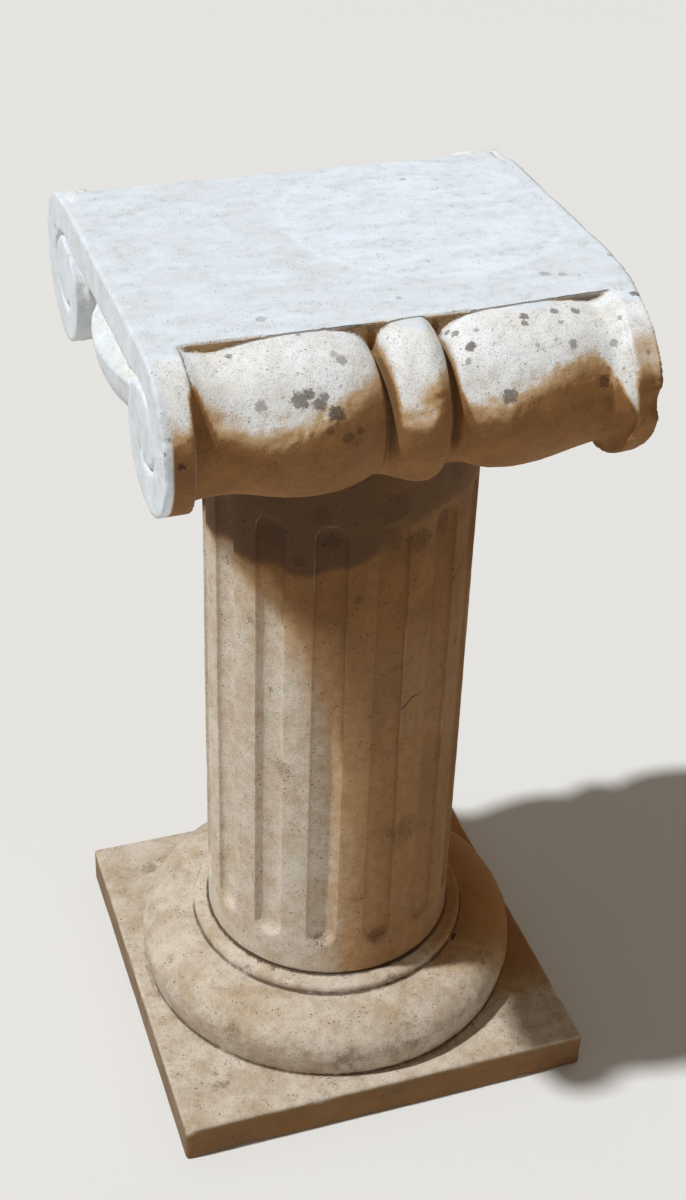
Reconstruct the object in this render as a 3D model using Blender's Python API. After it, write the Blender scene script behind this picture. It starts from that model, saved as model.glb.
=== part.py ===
import math

import bmesh
import bpy

# Driving sizes in metres. The front of the pedestal faces -Y, and Z is measured from the ground.
plinth_side = 0.345
plinth_thick = 0.034
plinth_wear = 0.004  # rounding of the plinth's edges
torus_reach = 0.161  # radius of the torus at its widest
torus_width = 0.040  # how far the upper curve of the torus runs inwards
torus_rise = 0.0255  # from the widest level up to its top
torus_mid = 0.025  # from the plinth up to the widest level
ring_radius = 0.1158
ring_height = 0.0085  # of the ring's upright side
bed_rise = 0.003  # the ring's top falls outwards by this much
shaft_radius = 0.1032
shaft_height = 0.4961
edge_wear = 0.0012  # rounding at the two ends of the shaft
flute_count = 14
flute_width = 0.024
flute_depth = 0.0055
flute_foot = 0.0330  # plain stone under the flutes
flute_head = 0.0600  # plain stone over them
flute_turn = 4.35  # degrees from the front to the nearest flute
joint = 0.0003  # gap between stones that rest on each other

capital_height = 0.1100
left_reach = 0.1754  # from the axis to the left face
right_reach = 0.1680
plate_half = 0.1274  # from the axis to the straight front edge of the top
band_height = 0.0300  # of the flat band that joins two volutes
scroll_radius = 0.0545
scroll_out = 0.1284  # from the axis to the middle of a scroll
back_sag = 0.0035  # the worn back scrolls lie this much lower
roll_drop = 0.0573  # from the top down to the middle of a roll
left_rim = 0.0203  # thickness of the volutes
right_rim = 0.0290
arris_radius = 0.1742
arris_drop = 0.0600  # from the top down to the sharp edge under the band
neck_radius = 0.1080  # underside of the capital
groove_radius = 0.0252
groove_width = 0.0028
groove_depth = 0.0026
worn_face = 0.0115  # stone lost from the outer face of the front right volute

# The turned outline of a roll from left to right, as distance from the middle and radius, both in parts of the
# scroll's radius: a lobe, the pod in the middle and the other lobe, with a deep nick on each side of the pod.
roll_outline = [
    (-2.752, 0.840), (-2.642, 0.826), (-2.532, 0.822), (-2.404, 0.826), (-2.239, 0.840), (-2.037, 0.883),
    (-1.835, 0.928), (-1.651, 0.961), (-1.450, 0.982), (-1.248, 0.983), (-1.028, 0.965), (-0.844, 0.928),
    (-0.697, 0.866), (-0.596, 0.789), (-0.532, 0.706), (-0.495, 0.606), (-0.477, 0.495), (-0.459, 0.606),
    (-0.413, 0.725), (-0.339, 0.835), (-0.239, 0.917), (-0.110, 0.978), (0.018, 1.002), (0.110, 0.991),
    (0.183, 0.945), (0.239, 0.853), (0.275, 0.734), (0.294, 0.606), (0.312, 0.495), (0.334, 0.606),
    (0.376, 0.688), (0.459, 0.763), (0.587, 0.840), (0.734, 0.905), (0.899, 0.958), (1.101, 0.982),
    (1.321, 0.983), (1.560, 0.961), (1.798, 0.921), (2.018, 0.877), (2.202, 0.844), (2.367, 0.826),
    (2.459, 0.844), (2.514, 0.890),
]
torus_turns = 64
shaft_turns = 7 * flute_count
roll_turns = 26
echinus_turns = 56

slab_offset = (left_reach - right_reach) / 2
axis_x = (arris_radius + slab_offset - max(arris_radius - slab_offset, plinth_side / 2)) / 2
torus_z = plinth_thick + torus_mid
ring_z = torus_z + torus_rise
base_top = ring_z + ring_height + bed_rise - 0.001
shaft_z = base_top + joint
capital_z = shaft_z + shaft_height + joint
top_z = capital_z + capital_height
scroll_z = top_z - scroll_radius


def start():
    for item in list(bpy.data.objects):
        bpy.data.objects.remove(item, do_unlink=True)


def finish(bm, name, smooth=False, shift=(0.0, 0.0, 0.0)):
    bmesh.ops.remove_doubles(bm, verts=bm.verts, dist=1e-6)
    bmesh.ops.recalc_face_normals(bm, faces=bm.faces)
    bmesh.ops.translate(bm, verts=bm.verts, vec=shift)
    mesh = bpy.data.meshes.new(name)
    bm.to_mesh(mesh)
    bm.free()
    mesh.shade_smooth() if smooth else mesh.shade_flat()
    item = bpy.data.objects.new(name, mesh)
    bpy.context.scene.collection.objects.link(item)
    return item


def turned(name, profile, turns, along="Z", shift=(0.0, 0.0, 0.0)):
    """A closed turned body. The profile gives (radius, place along the axis), and both ends close to the axis."""
    bm = bmesh.new()
    loops = []
    for radius, place in profile:
        loop = []
        for k in range(turns):
            a = 2 * math.pi * k / turns
            c, s = radius * math.cos(a), radius * math.sin(a)
            loop.append(bm.verts.new((c, s, place) if along == "Z" else (place, c, s)))
        loops.append(loop)
    for low, high in zip(loops, loops[1:]):
        for k in range(turns):
            n = (k + 1) % turns
            bm.faces.new((low[k], low[n], high[n], high[k]))
    bm.faces.new(loops[0])
    bm.faces.new(loops[-1])
    return finish(bm, name, True, shift)


def prism(name, outline, x0, x1):
    """The outline holds (y, z) points, and the body runs from x0 to x1."""
    bm = bmesh.new()
    near = [bm.verts.new((x0, y, z)) for y, z in outline]
    far = [bm.verts.new((x1, y, z)) for y, z in outline]
    bm.faces.new(near)
    bm.faces.new(far)
    for k in range(len(outline)):
        n = (k + 1) % len(outline)
        bm.faces.new((near[k], near[n], far[n], far[k]))
    return finish(bm, name)


def upright(name, outline, z0, z1):
    """The outline holds (x, y) points, and the body runs from z0 to z1."""
    bm = bmesh.new()
    low = [bm.verts.new((x, y, z0)) for x, y in outline]
    high = [bm.verts.new((x, y, z1)) for x, y in outline]
    bm.faces.new(low)
    bm.faces.new(high)
    for k in range(len(outline)):
        n = (k + 1) % len(outline)
        bm.faces.new((low[k], low[n], high[n], high[k]))
    return finish(bm, name)


def box(name, low, high, wear=0.0):
    bm = bmesh.new()
    bmesh.ops.create_cube(bm, size=1.0)
    for v in bm.verts:
        for i in range(3):
            v.co[i] = low[i] if v.co[i] < 0 else high[i]
    if wear:
        bmesh.ops.bevel(bm, geom=bm.edges[:], offset=wear, segments=2, profile=0.5, affect="EDGES")
    return finish(bm, name)


def combine(body, tool, operation):
    tool.hide_render = True
    tool.display_type = "WIRE"
    m = body.modifiers.new(operation.lower(), "BOOLEAN")
    m.operation = operation
    m.solver = "EXACT"
    m.object = tool


def stone(item):
    mat = bpy.data.materials.new(item.name + " stone")
    mat.use_nodes = True
    shader = mat.node_tree.nodes["Principled BSDF"]
    shader.inputs["Base Color"].default_value = (0.68, 0.63, 0.54, 1.0)
    shader.inputs["Roughness"].default_value = 0.9
    item.data.materials.append(mat)


def make_base():
    half = plinth_side / 2
    plinth = box(
        "base", (axis_x - half, -half, 0.0), (axis_x + half, half, plinth_thick), plinth_wear
    )
    centre = torus_reach - torus_width
    profile = [(torus_reach - 0.004, plinth_thick * 0.5), (torus_reach - 0.003, plinth_thick)]
    profile.append((torus_reach - 0.0008, plinth_thick + torus_mid * 0.5))
    for k in range(9):
        a = math.radians(90 * k / 8)
        profile.append((centre + torus_width * math.cos(a), torus_z + torus_rise * math.sin(a)))
    profile.append((ring_radius, ring_z - 0.001))
    profile.append((ring_radius, ring_z - 0.001 + ring_height - 0.0015))
    profile.append((ring_radius - 0.0015, ring_z - 0.001 + ring_height))
    profile.append((shaft_radius + 0.0012, base_top))
    body = turned("torus and ring", profile, torus_turns, shift=(axis_x, 0.0, 0.0))
    combine(plinth, body, "UNION")
    return plinth


def flute_cutter():
    """One body per flute, a round bar with round ends, all in one mesh."""
    spread = math.asin(flute_width / 2 / shaft_radius)
    edge = shaft_radius * math.cos(spread)
    deep = shaft_radius - flute_depth
    middle = ((flute_width / 2) ** 2 + edge**2 - deep**2) / (2 * (edge - deep))
    bar = middle - deep
    low = shaft_z + flute_foot + flute_width / 2
    high = shaft_z + shaft_height - flute_head - flute_width / 2
    rounding = flute_width / 2
    sides, rings = 16, 3
    bm = bmesh.new()
    for f in range(flute_count):
        turn = math.radians(flute_turn - 90.0) + 2 * math.pi * f / flute_count
        cx, cy = middle * math.cos(turn), middle * math.sin(turn)
        stations = []
        for k in range(rings + 1):
            a = math.pi / 2 * (1 - k / rings)
            stations.append((low - rounding * math.sin(a), a))
        for k in range(rings + 1):
            a = math.pi / 2 * k / rings
            stations.append((high + rounding * math.sin(a), a))
        loops = []
        for z, a in stations:
            # The end's half width is a quarter circle, so that it looks round on the shaft.
            half = flute_width / 2 * max(math.cos(a), 0.03)
            need = middle - math.sqrt(max(edge**2 + (flute_width / 2) ** 2 - half**2, 0.0))
            radius = min(bar, math.hypot(half, need))
            loop = []
            for s in range(sides):
                b = 2 * math.pi * s / sides + turn
                loop.append(bm.verts.new((cx + radius * math.cos(b), cy + radius * math.sin(b), z)))
            loops.append(loop)
        for one, two in zip(loops, loops[1:]):
            for s in range(sides):
                n = (s + 1) % sides
                bm.faces.new((one[s], one[n], two[n], two[s]))
        bm.faces.new(loops[0])
        bm.faces.new(loops[-1])
    return finish(bm, "flutes", shift=(axis_x, 0.0, 0.0))


def make_shaft():
    top = shaft_z + shaft_height
    profile = [
        (shaft_radius - edge_wear, shaft_z),
        (shaft_radius, shaft_z + edge_wear),
        (shaft_radius, top - edge_wear),
        (shaft_radius - edge_wear, top),
    ]
    shaft = turned("shaft", profile, shaft_turns, shift=(axis_x, 0.0, 0.0))
    combine(shaft, flute_cutter(), "DIFFERENCE")
    return shaft


def scroll_half(sag):
    """(y, z) points of one end of a volute face, from the top round the scroll to the band's underside."""
    points = [(scroll_out - 4 * sag, top_z)] if sag else []
    middle = scroll_z - sag
    for k in range(25):
        a = math.radians(90 - 270 * k / 24)
        points.append((scroll_out + scroll_radius * math.cos(a), middle + scroll_radius * math.sin(a)))
    for degrees, part in ((166, 0.90), (153, 0.80), (143, 0.70), (134, 0.605)):
        a = math.radians(degrees)
        r = scroll_radius * part
        points.append((scroll_out + r * math.cos(a), min(middle + r * math.sin(a), top_z - band_height - 0.001)))
    points.append((points[-1][0], top_z - band_height))
    return points


def end_slab(name, x0, x1):
    front = [(-y, z) for y, z in reversed(scroll_half(0.0))]
    return prism(name, scroll_half(back_sag) + front, x0, x1)


def roll(name, side):
    profile = [(scroll_radius * 0.86, -left_reach + left_rim * 0.5)]
    profile.append((scroll_radius * 0.865, -left_reach + left_rim))
    profile += [(radius * scroll_radius, x * scroll_radius) for x, radius in roll_outline]
    profile.append((scroll_radius * 0.940, right_reach - right_rim))
    profile.append((scroll_radius * 0.88, right_reach - right_rim * 0.5))
    return turned(name, profile, roll_turns, "X", (axis_x, side * scroll_out, top_z - roll_drop))


def groove(name, side, face, inwards):
    """A C-shaped nick with a V section, cut into a volute face. It leaves the band's lower edge and ends inside."""
    bm = bmesh.new()
    middle = scroll_z - (back_sag if side > 0 else 0.0)
    path = [(scroll_out - 0.0225, top_z - band_height - 0.0005)]
    for k in range(14):
        a = math.radians(118 - 236 * k / 13)
        path.append(
            (
                scroll_out - 0.0035 + groove_radius * math.cos(a),
                middle - 0.0005 + groove_radius * 1.06 * math.sin(a),
            )
        )
    path.append((scroll_out - 0.0240, middle - 0.0275))
    rows = []
    for k, (y, z) in enumerate(path):
        y0, z0 = path[max(k - 1, 0)]
        y1, z1 = path[min(k + 1, len(path) - 1)]
        run = math.hypot(y1 - y0, z1 - z0)
        ny, nz = -(z1 - z0) / run * groove_width, (y1 - y0) / run * groove_width
        out = face - inwards * groove_depth
        rows.append(
            [
                bm.verts.new((out, side * (y + ny), z + nz)),
                bm.verts.new((out, side * (y - ny), z - nz)),
                bm.verts.new((face + inwards * groove_depth, side * y, z)),
            ]
        )
    for one, two in zip(rows, rows[1:]):
        for s in range(3):
            n = (s + 1) % 3
            bm.faces.new((one[s], one[n], two[n], two[s]))
    bm.faces.new(rows[0])
    bm.faces.new(rows[-1])
    return finish(bm, name)


def make_capital():
    left, right = axis_x - left_reach, axis_x + right_reach
    capital = box(
        "capital",
        (left + left_rim * 0.5, -plate_half, top_z - band_height),
        (right - right_rim * 0.5, plate_half, top_z),
    )
    combine(capital, end_slab("left volutes", left, left + left_rim), "UNION")
    combine(capital, end_slab("right volutes", right - right_rim, right), "UNION")
    # The full round bowl between the volutes: a rough upper slope, a sharp edge and a full curve below it.
    deep = capital_height - arris_drop
    profile = [(neck_radius, capital_z)]
    for part, rise in ((0.725, 0.06), (0.848, 0.18), (0.928, 0.34), (0.974, 0.54), (0.994, 0.78)):
        profile.append((arris_radius * part, capital_z + deep * rise))
    profile.append((arris_radius, top_z - arris_drop))
    profile.append((arris_radius - 0.006, top_z - arris_drop + 0.012))
    profile.append((arris_radius - 0.024, top_z - band_height + 0.002))
    profile.append((arris_radius - 0.034, top_z - band_height + 0.006))
    echinus = turned("echinus", profile, echinus_turns, shift=((left + right) / 2, 0.0, 0.0))
    combine(capital, echinus, "UNION")
    combine(capital, roll("front roll", -1), "UNION")
    combine(capital, roll("back roll", 1), "UNION")
    for side, word in ((-1, "front"), (1, "back")):
        combine(capital, groove(word + " left groove", side, left, 1), "DIFFERENCE")
    combine(capital, groove("back right groove", 1, right, -1), "DIFFERENCE")
    # The outer face of the front right volute is lost to a curved break, and its rim has a notch.
    reach = scroll_out + scroll_radius
    worn = right - worn_face
    outline = [(right + 0.01, -0.4 * reach), (right, -0.4 * reach)]
    for part, lost in ((0.52, 0.13), (0.60, 0.42), (0.66, 0.70), (0.73, 1.0)):
        outline.append((right - worn_face * lost, -part * reach))
    outline += [(worn, -1.1 * reach), (right + 0.01, -1.1 * reach)]
    combine(capital, upright("worn face", outline, capital_z - 0.02, top_z + 0.02), "DIFFERENCE")
    bm = bmesh.new()
    bmesh.ops.create_icosphere(bm, subdivisions=1, radius=1.0)
    bmesh.ops.scale(bm, verts=bm.verts, vec=(0.0095, 0.0125, 0.0105))
    notch = finish(bm, "rim notch", shift=(worn + 0.002, -reach - 0.002, scroll_z - 0.004))
    combine(capital, notch, "DIFFERENCE")
    return capital


start()
for piece in (make_base(), make_shaft(), make_capital()):
    stone(piece)
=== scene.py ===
import math

import bpy
import numpy as np
from mathutils import Matrix, Vector


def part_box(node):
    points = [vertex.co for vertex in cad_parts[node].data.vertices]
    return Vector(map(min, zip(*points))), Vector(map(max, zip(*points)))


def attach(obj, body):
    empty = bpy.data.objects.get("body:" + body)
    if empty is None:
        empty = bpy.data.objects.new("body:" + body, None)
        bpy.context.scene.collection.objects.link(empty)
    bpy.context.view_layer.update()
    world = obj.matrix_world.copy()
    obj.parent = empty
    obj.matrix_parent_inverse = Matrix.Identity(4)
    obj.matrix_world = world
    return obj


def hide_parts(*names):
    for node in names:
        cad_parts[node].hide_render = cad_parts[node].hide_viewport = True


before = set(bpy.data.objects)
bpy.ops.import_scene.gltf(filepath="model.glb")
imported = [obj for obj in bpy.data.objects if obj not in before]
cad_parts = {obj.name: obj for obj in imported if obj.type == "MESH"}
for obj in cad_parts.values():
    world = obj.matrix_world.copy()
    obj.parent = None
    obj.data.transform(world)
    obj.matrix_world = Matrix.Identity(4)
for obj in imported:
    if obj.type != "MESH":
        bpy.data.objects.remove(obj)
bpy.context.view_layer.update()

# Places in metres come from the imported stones. The surfaces below are worked out in millimetres.
capitalLow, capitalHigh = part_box("capital")
shaftLow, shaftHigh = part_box("shaft")
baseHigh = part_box("base")[1]
axisX = (shaftLow.x + shaftHigh.x) / 2
topZ = capitalHigh.z


# Surface helpers

def smooth(a, b, x):
    t = np.clip((x - a) / (b - a), 0.0, 1.0)
    return t * t * (3.0 - 2.0 * t)


def join(a, b, k):
    # The union of two bodies, with a fillet of about k millimetres where they meet.
    h = np.clip(0.5 + 0.5 * (b - a) / k, 0.0, 1.0)
    return b * (1.0 - h) + a * h - k * h * (1.0 - h)


def common(a, b, k):
    # What two bodies share, with edges worn round by about k millimetres.
    return -join(-a, -b, k)


def cut(a, b, k):
    return common(a, -b, k)


def curve(points, x):
    # A smooth line through a few measured points.
    px, py = np.array(points, float).T
    m = np.gradient(py, px)
    i = np.clip(np.searchsorted(px, x) - 1, 0, len(px) - 2)
    h = px[i + 1] - px[i]
    t = np.clip((x - px[i]) / h, 0.0, 1.0)
    a = (2 * t**3 - 3 * t**2 + 1) * py[i] + (t**3 - 2 * t**2 + t) * h * m[i]
    return a + (3 * t**2 - 2 * t**3) * py[i + 1] + (t**3 - t**2) * h * m[i + 1]


def grain(p, size, seed):
    # Smooth noise from -1 to 1, with bumps about as wide as size in millimetres.
    salts = (73856093, 19349663, 83492791)
    q = p / size + seed * 11.7
    i = np.floor(q).astype(np.int64)
    f = q - i
    f = f * f * (3.0 - 2.0 * f)
    total = np.zeros(len(p))
    for dx in (0, 1):
        for dy in (0, 1):
            for dz in (0, 1):
                h = ((i[:, 0] + dx) * salts[0]) ^ ((i[:, 1] + dy) * salts[1]) ^ ((i[:, 2] + dz) * salts[2])
                h = (h ^ (seed * 668265263)) & 0xFFFFFFFF
                h = ((h ^ (h >> 15)) * 2246822519) & 0xFFFFFFFF
                h = ((h ^ (h >> 13)) * 3266489917) & 0xFFFFFFFF
                value = ((h ^ (h >> 16)) & 0xFFFF) / 32767.5 - 1.0
                w = (f[:, 0] if dx else 1 - f[:, 0]) * (f[:, 1] if dy else 1 - f[:, 1])
                total += value * w * (f[:, 2] if dz else 1 - f[:, 2])
    return total


def dent(p, middle, radii):
    # A rough ellipsoid for a chip, as a distance that is negative inside.
    q = (p - np.array(middle)) / np.array(radii)
    return (np.sqrt((q * q).sum(1)) - 1.0) * min(radii)


def unpinch(values):
    # Where two solid corners of a grid square touch only by their diagonal, the mesh would have a pinched
    # edge, so the whole square is made solid, until no such square is left.
    span, justInside = (slice(0, -1), slice(1, None)), -1e-3
    for _ in range(12):
        changed = False
        for one, two in ((0, 1), (0, 2), (1, 2)):
            solid, parts = values < 0, []
            for i, j in ((0, 0), (1, 0), (0, 1), (1, 1)):
                part = [slice(None)] * 3
                part[one], part[two] = span[i], span[j]
                parts.append(tuple(part))
            a, b, c, d = (solid[part] for part in parts)
            odd = (a == d) & (b == c) & (a != b)
            for part in parts:
                view = values[part]
                view[odd & (view >= 0)] = justInside
            changed = changed or bool(odd.any())
        if not changed:
            break


def cellPoints(values, solid):
    # In each cell that the surface crosses, the middle of the places where it crosses the cell's edges. Also
    # the number of each such cell.
    n = values.shape
    corners = np.array([(i, j, k) for i in (0, 1) for j in (0, 1) for k in (0, 1)])
    count = sum(solid[i:n[0] - 1 + i, j:n[1] - 1 + j, k:n[2] - 1 + k].astype(int) for i, j, k in corners)
    cells = np.argwhere((count > 0) & (count < 8))
    number = np.full(count.shape, -1)
    number[tuple(cells.T)] = np.arange(len(cells))
    at = [values[tuple((cells + c).T)] for c in corners]
    place, hits = np.zeros((len(cells), 3)), np.zeros(len(cells))
    for a in range(8):
        for b in range(a + 1, 8):
            if abs(corners[a] - corners[b]).sum() != 1:
                continue
            crossed = (at[a] < 0) != (at[b] < 0)
            t = np.where(crossed, at[a] / np.where(crossed, at[a] - at[b], 1.0), 0.0)
            point = corners[a] + t[:, None] * (corners[b] - corners[a])
            place += np.where(crossed[:, None], point, 0.0)
            hits += crossed
    return cells + place / hits[:, None], number


def cellFaces(solid, number):
    # For each grid edge that the surface crosses, a face between the four cells around it, turned outwards.
    faces = []
    for axis in range(3):
        one, two = (axis + 1) % 3, (axis + 2) % 3
        a, b = [slice(1, -1)] * 3, [slice(1, -1)] * 3
        a[axis], b[axis] = slice(0, -1), slice(1, None)
        start = np.argwhere(solid[tuple(a)] != solid[tuple(b)])
        start[:, one] += 1
        start[:, two] += 1
        quads = []
        for stepOne, stepTwo in ((-1, -1), (0, -1), (0, 0), (-1, 0)):
            cell = start.copy()
            cell[:, one] += stepOne
            cell[:, two] += stepTwo
            quads.append(number[tuple(cell.T)])
        quads = np.stack(quads, 1)
        turned = ~solid[tuple(start.T)]
        quads[turned] = quads[turned][:, ::-1]
        faces.append(quads)
    return np.concatenate(faces)


def skin(field, low, high, step):
    # The surface where the field is zero, as one closed mesh from a grid with this step. Its points are then
    # moved down the field's slope onto the surface.
    low, high = np.array(low, float), np.array(high, float)
    n = np.ceil((high - low) / step).astype(int) + 1
    axes = [low[k] + step * np.arange(n[k]) for k in range(3)]
    values = np.empty(tuple(n))
    for i in range(n[0]):
        grid = np.stack(np.meshgrid([axes[0][i]], axes[1], axes[2], indexing="ij"), -1).reshape(-1, 3)
        values[i] = field(grid).reshape(n[1], n[2])
    unpinch(values)
    solid = values < 0
    inCells, number = cellPoints(values, solid)
    points, faces = low + step * inCells, cellFaces(solid, number)
    nudge, longest = 0.25, 0.3 * step
    for _ in range(4):
        value, slope = field(points), np.empty_like(points)
        for k in range(3):
            ahead = points.copy()
            ahead[:, k] += nudge
            slope[:, k] = (field(ahead) - value) / nudge
        move = value / np.maximum((slope * slope).sum(1), 0.15)
        points -= np.clip(move, -longest, longest)[:, None] * slope
    return points, faces


def outward(points, faces):
    # The normal at each point, from the faces around it.
    a, b, c, d = (points[faces[:, k]] for k in range(4))
    normal = np.cross(c - a, d - b)
    total = np.zeros_like(points)
    for k in range(4):
        np.add.at(total, faces[:, k], normal)
    return total / np.maximum(np.linalg.norm(total, axis=1), 1e-9)[:, None]


def piece(name, points, faces, up, layers, limit):
    # An object from points in millimetres, with the origin on the shaft's axis and up above the ground. Each
    # layer holds one number for each point. The mesh is thinned to the limit of triangles.
    mesh = bpy.data.meshes.new(name)
    shift = np.array([axisX * 1000, 0.0, up])
    mesh.from_pydata(((points + shift) / 1000.0).tolist(), [], faces)
    for title, values in layers.items():
        layer = mesh.attributes.new(title, "FLOAT", "POINT")
        layer.data.foreach_set("value", values.astype(np.float32))
    mesh.shade_smooth()
    item = bpy.data.objects.new(name, mesh)
    bpy.context.scene.collection.objects.link(item)
    total = sum(len(face) - 2 for face in faces)
    if total > limit:
        shrink = item.modifiers.new("fewer", "DECIMATE")
        shrink.ratio = limit / total
        made = bpy.data.meshes.new_from_object(item.evaluated_get(bpy.context.evaluated_depsgraph_get()))
        item.modifiers.clear()
        item.data = made
        made.name = name
        made.shade_smooth()
    print(name, "triangles", sum(len(p.vertices) - 2 for p in item.data.polygons))
    return item


# Materials

class Wire:
    # One output of a shader node, with sums written as plain arithmetic.
    def __init__(self, tree, socket):
        self.tree, self.socket = tree, socket

    def make(self, kind, settings=None, output=0, **inputs):
        node = self.tree.nodes.new("ShaderNode" + kind)
        for key, value in (settings or {}).items():
            setattr(node, key, value)
        for key, value in inputs.items():
            target = node.inputs[int(key[1:])] if key[0] == "i" and key[1:].isdigit() else node.inputs[key]
            if isinstance(value, Wire):
                self.tree.links.new(value.socket, target)
            else:
                target.default_value = value
        return Wire(self.tree, node.outputs[output])

    def sum(self, operation, *values):
        inputs = {"i" + str(k): value for k, value in enumerate(values)}
        return self.make("Math", {"operation": operation}, **inputs)

    def __add__(self, other):
        return self.sum("ADD", self, other)

    def __sub__(self, other):
        return self.sum("SUBTRACT", self, other)

    def __mul__(self, other):
        return self.sum("MULTIPLY", self, other)

    def __truediv__(self, other):
        return self.sum("DIVIDE", self, other)

    def __rsub__(self, other):
        return self.sum("SUBTRACT", other, self)

    __radd__, __rmul__ = __add__, __mul__

    def __abs__(self):
        return self.sum("ABSOLUTE", self)

    def ramp(self, a, b):
        # From 0 at a to 1 at b, with a soft start and end.
        settings = {"interpolation_type": "SMOOTHSTEP"}
        return self.make("MapRange", settings, i0=self, i1=a, i2=b, i3=0.0, i4=1.0)

    def blend(self, one, two):
        # The first colour where this is 0, and the second where it is 1.
        settings = {"data_type": "RGBA"}
        inputs = {"i0": self, "i6": one, "i7": two}
        return self.make("Mix", settings, 2, **inputs)

    def most(self, other):
        return self.sum("MAXIMUM", self, other)


def colour(r, g, b):
    # From the 0 to 255 values of a picture.
    def linear(v):
        v = v / 255.0
        return v / 12.92 if v <= 0.04045 else ((v + 0.055) / 1.055) ** 2.4
    return (linear(r), linear(g), linear(b), 1.0)


def noise(at, scale, detail=4.0, rough=0.55, stretch=(1.0, 1.0, 1.0), shift=0.0):
    moved = at.make("Mapping", None, 0, i0=at, i1=(shift, shift * 0.7, shift * 1.3), i3=stretch)
    return at.make("TexNoise", None, 0, Vector=moved, Scale=scale, Detail=detail, Roughness=rough)


def cells(at, scale, shift):
    moved = at.make("Mapping", None, 0, i0=at, i1=(shift, shift * 0.7, shift * 1.3))
    return at.make("TexVoronoi", None, 0, Vector=moved, Scale=scale, Randomness=1.0)


def spots(at, places, edge):
    # A soft-edged blotch for each (x, y, z, radius, strength), in millimetres.
    found = None
    for x, y, z, radius, strength in places:
        middle = (x / 1000, y / 1000, z / 1000)
        away = at.make("VectorMath", {"operation": "DISTANCE"}, 1, i0=at, i1=middle)
        blot = (away * (1000.0 / radius) + (edge - 0.5) * 2.2).ramp(1.12, 0.72) * strength
        found = blot if found is None else found.most(blot)
    return found


def limestone(name, look, extra):
    mat = bpy.data.materials.new(name)
    mat.use_nodes = True
    tree = mat.node_tree
    shader = tree.nodes["Principled BSDF"]
    start = Wire(tree, shader.outputs[0])
    at = start.make("TexCoord", None, 3)

    def layer(title):
        return start.make("Attribute", {"attribute_name": title}, 2)

    # Noise in several sizes. At a scale of 100, its blots are about a centimetre wide.
    broad = noise(at, 9.0, 3.0)
    cloud = noise(at, 34.0, 5.0, 0.6, shift=1.3)
    mottle = noise(at, 120.0, 4.0, 0.65, shift=2.1)
    fine = noise(at, 520.0, 3.0, 0.7, shift=3.7)
    sand = noise(at, 1500.0, 2.0, 0.7, shift=0.9)
    pepper = noise(at, 900.0, 2.0, 0.75, shift=6.3)
    speck = cells(at, 300.0, 0.4)
    # Clean stone: cream in its body, a little greyer in clouds, with fine grey specks.
    clean = (cloud * 0.7 + mottle * 0.3).ramp(0.36, 0.66).blend(look["pale"], look["cream"])
    clean = ((pepper * 0.8 + mottle * 0.2).ramp(0.51, 0.62) * look["specks"]).blend(clean, look["speck"])
    clean = (mottle.ramp(0.60, 0.72) * 0.35).blend(clean, look["dust"])
    # The brown skin that stone keeps where rain doesn't reach it. Its amount is partly real patina and partly
    # painted shade: sides turned from the key light and painted cast shadows.
    brown = (cloud * 0.6 + mottle * 0.4).ramp(0.35, 0.68).blend(look["brown"], look["ochre"])
    brown = (fine.ramp(0.56, 0.72) * 0.35).blend(brown, look["deep"])
    brown = ((pepper * 0.6 + mottle * 0.4).ramp(0.56, 0.64) * 0.6).blend(brown, look["deep"])
    brown = (broad.ramp(0.45, 0.7) * look["ashAmount"]).blend(brown, look["ash"])
    # Between clean and brown lies a tan border, ragged by all sizes of noise.
    streak = noise(at, 60.0, 4.0, 0.6, (1.0, 1.0, look["streak"]), 7.7)
    ragged = (broad - 0.5) * 0.35 + (cloud - 0.5) * 0.30 + (streak - 0.5) * 0.4
    ragged = ragged + (mottle - 0.5) * 0.2 + (pepper - 0.5) * look["sandy"]
    ragged = layer("patinaAndShade") + ragged * look["rag"]
    tan = (mottle * 0.6 + fine * 0.4).ramp(0.35, 0.65).blend(look["tan"], look["warm"])
    skinAmount = ragged.ramp(0.42, 1.0)
    hue = skinAmount.blend(ragged.ramp(0.04, 0.5).blend(clean, tan), brown)
    # Painted shade in corners, creases and nicks and under the capital, with some real dirt and joints; pale
    # stone on worn edges, and a painted highlight on the bowl's sharp edge.
    shadeDirtAmount = (layer("shadeAndDirt") + (mottle - 0.5) * 0.3).ramp(0.35, 0.85) * look["shadeDirtAmount"]
    hue = shadeDirtAmount.blend(hue, look["shadeDirtColour"])
    worn = (layer("ridge") + (fine - 0.5) * 0.5).ramp(0.4, 0.8) * look["wear"]
    hue = worn.blend(hue, look["pale"])
    # Small dark pits and grains of lichen all over.
    pits = (speck + (sand - 0.5) * 0.2).ramp(0.22, 0.10) * noise(at, 90.0, 2.0, shift=5.0).ramp(0.50, 0.66)
    hue = (pits * look["pits"]).blend(hue, look["dot"])
    height = sand * 0.10 + fine * 0.34 + mottle * 0.5 - pits * 0.9
    patterns = dict(cloud=cloud, mottle=mottle, fine=fine, pepper=pepper, brown=skinAmount,
                    blot=noise(at, 420.0, 4.0, 0.7, shift=4.4), layer=layer)
    hue, height = extra(at, hue, height, patterns)
    bump = start.make("Bump", None, 0, Strength=look["bump"], Distance=0.0012, Height=height)
    for key, value in (("Base Color", hue), ("Roughness", fine * 0.12 + 0.80), ("Normal", bump)):
        tree.links.new(value.socket, shader.inputs[key])
    shader.inputs["Specular IOR Level"].default_value = 0.28
    return mat


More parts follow.
